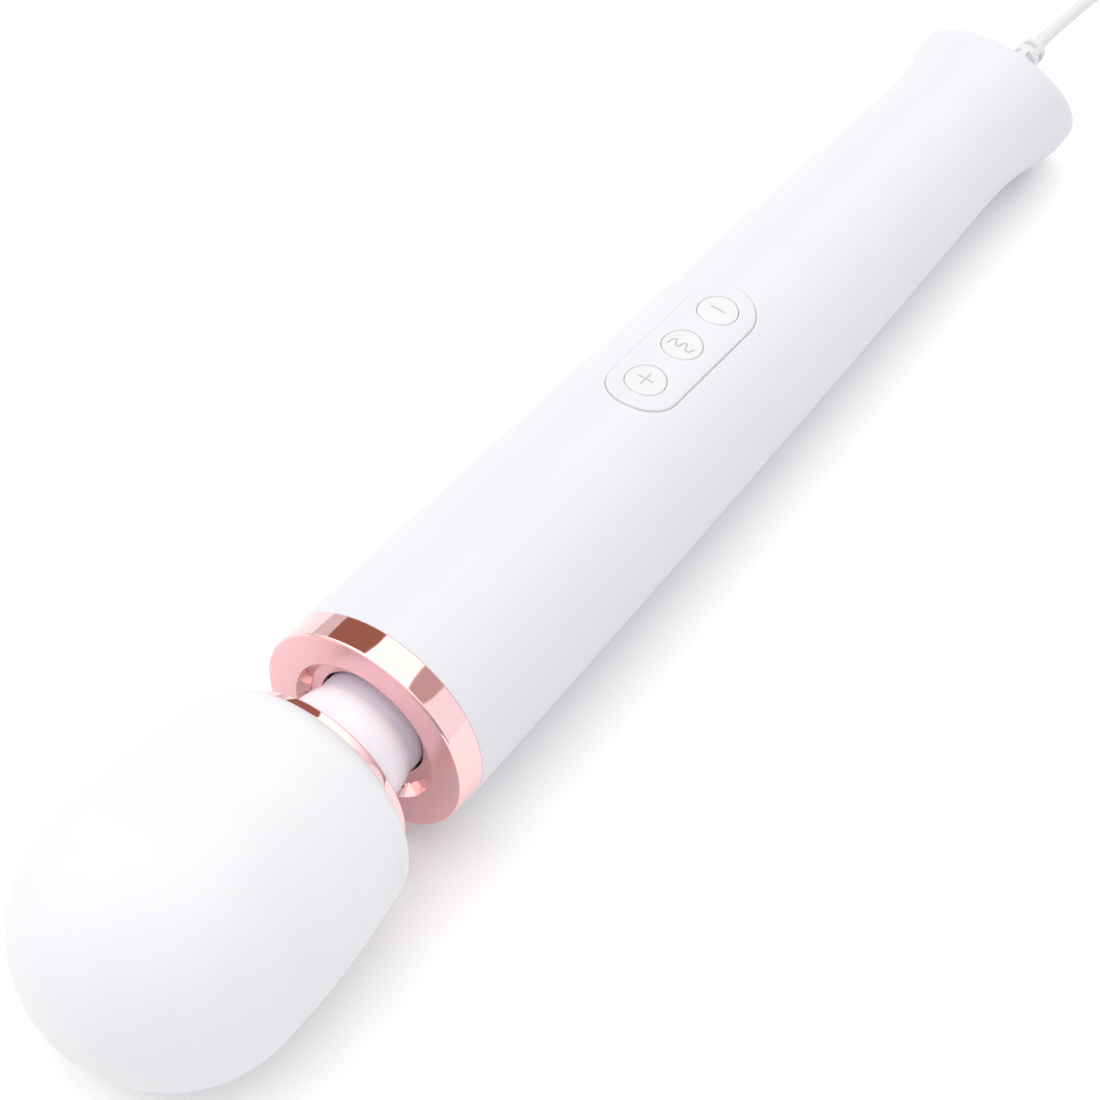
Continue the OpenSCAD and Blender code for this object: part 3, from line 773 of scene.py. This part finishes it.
def neck_ball():
    """Ball of the neck, seen inside the collar"""
    arc = ellipse_arc(PIVOT_S, 0, BALL_R, BALL_R, 26, 154, 48)
    profile = [(arc[0][0], 7)] + arc + [(arc[-1][0], 7)]
    points, faces = turned(profile)
    return piece("neck_ball", points, faces, "neck", ["neck_ring"], "lavender_plastic")


def bulge():
    """Bulged white ring in front of the ball, hollow where the ball goes in"""
    socket = [(s, math.sqrt(12.5**2 - (s - PIVOT_S) ** 2)) for s in np.linspace(260.3, 256.4, 12)]
    lip = [(256.2, 12.02), (256.14, 12.1), (256.17, 12.22)]
    arc = ellipse_arc(262, 11, 6.6, 2.4, 150, 28, 40)
    profile = lip + arc + [(RING_S - 0.05, 12), (RING_S - 0.05, 8.7), (260.3, 8.7)] + socket
    points, faces = turned(profile)
    # The bulge wears a paler copy of the gloss white, whose lighter colour is painted light
    return piece("neck_bulge_shell", points, faces, "head", ["neck_bulge"], "gloss_white",
                 look="neck_white_painted_light")


def head_ring():
    """Thin plated ring behind the head"""
    profile = rounded([(RING_S, 15.1), (RING_S, 17.3, 0.3), (268.15, 17.8, 0.15),
                       (268.6, 20.0, 0.8), (269.2, 21.05, 0.5), (271.15, 21.4, 0.08),
                       (271.15, 19.65), (269.65, 19.6), (269.65, 15.1)], 8)
    points, faces = turned(profile)
    return piece("head_ring_plating", points, faces, "head", ["head_ring"], "rose_gold", sharp=45)


def head_cap():
    """Silicone cap over the whole head, with a straight band round its widest part"""
    back = [HEAD_BACK_S + (SHOULDER_S - HEAD_BACK_S) * (1 - math.cos(k * math.pi / 60))
            for k in range(30)]
    shoulder = [(s, 27.1 * (1 - ((SHOULDER_S - s) / 10.5) ** 2.35) ** 0.4255) for s in back]
    sides = [(s, HEAD_R - 2.9 * ((BAND_S - s) / (BAND_S - SHOULDER_S)) ** 1.6)
             for s in np.linspace(SHOULDER_S, BAND_S, 24)]
    tip = ellipse_arc(DOME_S, 0, WAND_LEN - DOME_S, HEAD_R, 90, 0, 64)
    core = ellipse_arc(DOME_S, 0, 25, 27.03, 0, 90, 32) + [(285, 26.4), (277, 24.63)]
    profile = [(275.5, 24.1), (HEAD_BACK_S, 19.6)] + shoulder + sides + tip
    points, faces = turned(profile[:-1] + [(WAND_LEN, 0)], closed=False)
    inner_points, inner_faces = turned([(339.03, 0)] + core[1:] + [(275.5, 24.1)], closed=False)
    start = len(points)
    points += inner_points
    faces += [tuple(k + start for k in face) for face in inner_faces]
    made = piece("head_silicone", points, faces, "head", ["head_cap"], "silicone_white")
    weld = bmesh.new()
    weld.from_mesh(made.data)
    bmesh.ops.remove_doubles(weld, verts=weld.verts, dist=1e-7)
    bmesh.ops.recalc_face_normals(weld, faces=weld.faces)
    weld.to_mesh(made.data)
    weld.free()
    made.data.shade_smooth()
    return made


# ---- strain relief, lead and adaptor ----

def strain_relief():
    """Tapered sleeve with three staggered rows of slots, and the cord's way through it"""
    barrel = rounded([(5.5, 1.72), (5.5, 3.6), (0.2, 3.6), (-2, 3.55, 4),
                      (-RELIEF_LEN, 3.3, 1.1), (-RELIEF_LEN, 1.72)], 5)
    outline = close_set(barrel, 0.35)
    slots = [-13.2 + 4 * row for row in range(3)]
    marks = [s + d for s in slots for d in (0, 0.1, 1.2, 1.3)]
    outside = [p for p in outline if p[1] > 2]
    for mark in marks:
        near = min(outside, key=lambda p: abs(p[0] - mark))
        outline[outline.index(near)] = (mark, near[1])
        outside[outside.index(near)] = (mark, near[1])
    points = []
    rows = []
    segments = 96
    for s, r in outline:
        ring = turned_ring(s, r, segments)
        for row, start in enumerate(slots):
            if r > 2 and start + 0.05 < s < start + 1.25:
                for k in range(segments):
                    turn = (k * 360 / segments + row * 45 + 45) % 90 - 45
                    if abs(turn) < 27:
                        ring[k] = turned_ring(s, 2.35, segments)[k]
        rows.append(add(points, ring))
    faces = []
    for a, b in zip(rows, rows[1:] + rows[:1]):
        faces += strip(a, b)
    return piece("relief", points, faces, "handle", ["strain_relief"], "cord_white", sharp=50)


def on_axis(s):
    """Point of the wand's axis, in mm of the frame"""
    return tuple(WAND @ Vector((s, 0, 0)) / MM)


def ease(t):
    """Smooth step from 0 to 1"""
    return t * t * (3 - 2 * t)


def coil_path(steps=20):
    """Three rows of four turns, wound in, out and in again, then 1.25 turns out over the top.
    A row's last turn climbs round the turn beside it to the next row."""
    places = []
    pitch = 2 * LEAD_R
    for row in range(COIL_ROWS):
        columns = COIL_COLUMNS[::-1] if row % 2 else COIL_COLUMNS
        z = LEAD_R + row * pitch
        for k in range(4):
            for i in range(steps):
                t = ease(i / steps)
                if k < 3:
                    r, rise = columns[k] + (columns[k + 1] - columns[k]) * t, 0
                else:
                    way = columns[3] - columns[2]
                    r = columns[2] + way * (t + math.cos(t * math.pi / 2))
                    rise = pitch * math.sin(t * math.pi / 2)
                places.append((r, z + rise, row * 4 + k + i / steps))
    last = int(COIL_TOP_TURNS * steps)
    for i in range(last + 1):
        r = COIL_COLUMNS[3] + (COIL_COLUMNS[0] - COIL_COLUMNS[3]) * ease(i / last)
        places.append((r, LEAD_R + COIL_ROWS * pitch, COIL_ROWS * 4 + i / steps))
    out = []
    for r, z, turn in places:
        a = math.radians(-90 - 360 * turn)
        out.append((COIL_X + r * math.cos(a), COIL_Y + r * math.sin(a), z))
    return out


def cord():
    """Lead from inside the strain relief, through the coil, to the adaptor"""
    route = [on_axis(-RELIEF_LEN + 6), on_axis(-RELIEF_LEN), on_axis(-RELIEF_LEN - 7)]
    route = route + LEAD + coil_path() + TAIL
    data = bpy.data.curves.new("lead", "CURVE")
    data.dimensions = "3D"
    data.bevel_depth = LEAD_R * MM
    data.bevel_resolution = 5
    data.resolution_u = 5
    data.use_fill_caps = True
    line = data.splines.new("BEZIER")
    line.bezier_points.add(len(route) - 1)
    for knot, place in zip(line.bezier_points, route):
        knot.co = Vector(place) * MM
        knot.handle_left_type = "AUTO"
        knot.handle_right_type = "AUTO"
    made = bpy.data.objects.new("lead", data)
    bpy.context.scene.collection.objects.link(made)
    data.materials.append(FINISHES["cord_white"])
    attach(made, "handle")
    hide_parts("cord_lead", "cord_coil", "cord_tail")
    return made


def cord_tie():
    """Strap round the coil: a closed band over the bundle, drawn in the upright plane"""
    loop = rounded([(36.2, 0.05, 1.2), (50.75, 0.05, 1.2), (50.75, 9.6, 1.5), (43.6, 13.9, 2),
                    (40.4, 13.9, 2), (36.2, 10.6, 1.5)], 6)
    loop = close_set(loop, 1.2)
    centre = Vector((43.5, 6))
    points = []
    sections = []
    for y, z in loop:
        out = (Vector((y, z)) - centre).normalized() * 0.55
        if z < 0.4:
            out = Vector((0, -0.45))
        inner = Vector((y, z)) - out
        ring = [(COIL_X + side * w, p[0], p[1])
                for side, w, p in ((-1, 3.5, inner), (-1, 3.5, (y, z)),
                                   (1, 3.5, (y, z)), (1, 3.5, inner))]
        sections.append(add(points, ring))
    faces = []
    for a, b in zip(sections, sections[1:] + sections[:1]):
        faces += strip(a, b)
    return piece("tie", points, faces, "handle", ["cord_tie"], "cord_white", place=ROW)


def block_ring(inset, z, steps=10):
    """Loop round the adaptor, inset from its sides"""
    x = ADAPTOR_W / 2 - inset
    y = ADAPTOR_LEN / 2 - inset
    corner = max(6 - inset, 0.5)
    corners = [(x, -y, corner), (x, y, corner), (-x, y, corner), (-x, -y, corner)]
    return [(ADAPTOR_X + p[0], ADAPTOR_Y + p[1], z) for p in rounded(corners, steps)]


def block(name, levels, stands_for):
    """Closed block through (inset, z) levels, flat at both ends"""
    points = []
    loops = [add(points, block_ring(inset, z)) for inset, z in levels]
    faces = [tuple(loops[0]), tuple(reversed(loops[-1]))]
    for a, b in zip(loops, loops[1:]):
        faces += strip(a, b)
    made = piece(name, points, faces, "handle", stands_for, "adaptor_white", place=ROW, sharp=30)
    even = made.modifiers.new("even", "WEIGHTED_NORMAL")
    even.keep_sharp = True
    return made


def block_edge(inset, z, radius, up):
    """(inset, z) levels round the block's edge, from its side to its flat end"""
    turns = [math.pi / 2 * k / 6 for k in range(7)]
    return [(inset + radius * (1 - math.cos(a)), z - up * radius * (1 - math.sin(a)))
            for a in turns]


def adaptor():
    """Mains adaptor: body, lid, two pins and the boot where the lead goes in"""
    foot = list(reversed(block_edge(0, 0.0, 2.5, -1)))
    seam = block_edge(0, ADAPTOR_SPLIT - 0.05, 0.35, 1)
    block("adaptor_body", foot + seam, ["adaptor_base"])
    lower = list(reversed(block_edge(0, ADAPTOR_SPLIT + 0.15, 0.35, -1)))
    crown = block_edge(0, ADAPTOR_H, 2.5, 1)
    block("adaptor_lid", lower + crown, ["adaptor_cover"])
    upright = Matrix(((0, 1, 0), (0, 0, 1), (1, 0, 0))).to_4x4()
    profile = [(-2, 0), (-2, PIN_R)]
    profile += rounded([(-1, PIN_R), (PIN_LEN - 0.01, PIN_R, 1.2), (PIN_LEN, 0)], 8, False)
    points, faces = turned(profile, closed=False, segments=64)
    for side in (-1, 1):
        foot_at = Vector((ADAPTOR_X + side * PIN_PITCH / 2, ADAPTOR_Y, ADAPTOR_H)) * MM
        place = Matrix.Translation(foot_at) @ upright @ ROW
        made = piece(f"pin_{'a' if side < 0 else 'b'}", points, faces, "handle", None,
                     "nickel_pins", place=place)
        if side < 0:
            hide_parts("adaptor_pins")
    exit_at = Vector((ADAPTOR_X, ADAPTOR_Y + ADAPTOR_LEN / 2, BOOT_Z)) * MM
    place = Matrix.Translation(exit_at) @ Matrix(((0, 1, 0), (1, 0, 0), (0, 0, 1))).to_4x4() @ ROW
    profile = rounded([(-1.5, 1.72), (-1.5, 2.5), (0.02, 2.5), (0.02, 3.3, 0.2), (1.4, 3.3, 0.6),
                       (11.9, 2.15, 0.25), (11.9, 1.72)], 6)
    points, faces = turned(profile, segments=64)
    piece("adaptor_boot", points, faces, "handle", ["adaptor_relief"], "cord_white", place=place)


# ---- floor and light ----

def make_floor():
    """Plain pale floor, just under the surface that the wand lies on"""
    mesh = bpy.data.meshes.new("floor")
    size = 60.0
    mesh.from_pydata([(-size, -size, 0), (size, -size, 0), (size, size, 0), (-size, size, 0)],
                     [], [(0, 1, 2, 3)])
    floor = bpy.data.objects.new("floor", mesh)
    floor.location.z = -0.0001
    bpy.context.scene.collection.objects.link(floor)
    mesh.materials.append(finish("floor", (0.93, 0.93, 0.93), 0.8, 3, 0.01, 0.0, 0.02, 400))


def facing(tree, azimuth, elevation, inner, outer):
    """1 within inner degrees of a direction of the room, falling smoothly to 0 at outer"""
    a, e = math.radians(azimuth), math.radians(elevation)
    toward = (math.cos(a) * math.cos(e), math.sin(a) * math.cos(e), math.sin(e))
    place = tree.nodes.new("ShaderNodeTexCoord")
    dot = tree.nodes.new("ShaderNodeVectorMath")
    dot.operation = "DOT_PRODUCT"
    dot.inputs[1].default_value = toward
    tree.links.new(place.outputs["Generated"], dot.inputs[0])
    out = tree.nodes.new("ShaderNodeMapRange")
    out.interpolation_type = "SMOOTHSTEP"
    out.inputs["From Min"].default_value = math.cos(math.radians(outer))
    out.inputs["From Max"].default_value = math.cos(math.radians(inner))
    tree.links.new(dot.outputs["Value"], out.inputs["Value"])
    return out.outputs["Result"]


def make_room():
    """Pale studio of soft patches of light, and two dark ones that the polished metal mirrors"""
    world = bpy.data.worlds.new("studio")
    bpy.context.scene.world = world
    world.use_nodes = True
    tree = world.node_tree
    base = tree.nodes.new("ShaderNodeRGB")
    base.outputs[0].default_value = (*BASE_LIGHT, 1)
    last = base.outputs[0]
    for color, where in PATCHES.values():
        mix = tree.nodes.new("ShaderNodeMix")
        mix.data_type = "RGBA"
        mix.inputs[7].default_value = (*color, 1)
        tree.links.new(last, mix.inputs[6])
        tree.links.new(facing(tree, *where), mix.inputs[0])
        last = mix.outputs[2]
    tree.links.new(last, tree.nodes["Background"].inputs["Color"])
    bpy.context.scene.view_settings.view_transform = "Standard"


# ---- the whole ----

dress_nodes()
lead = cord()
tie = cord_tie()
strain_relief()
adaptor()
handle_sleeve()
button_panel()
for name, place in zip(("button_minus", "button_wave", "button_plus"), button_places()):
    button(name, place)
icons()
collar()
step_ring()
neck_ball()
bulge()
head_ring()
head_cap()
make_floor()
make_room()
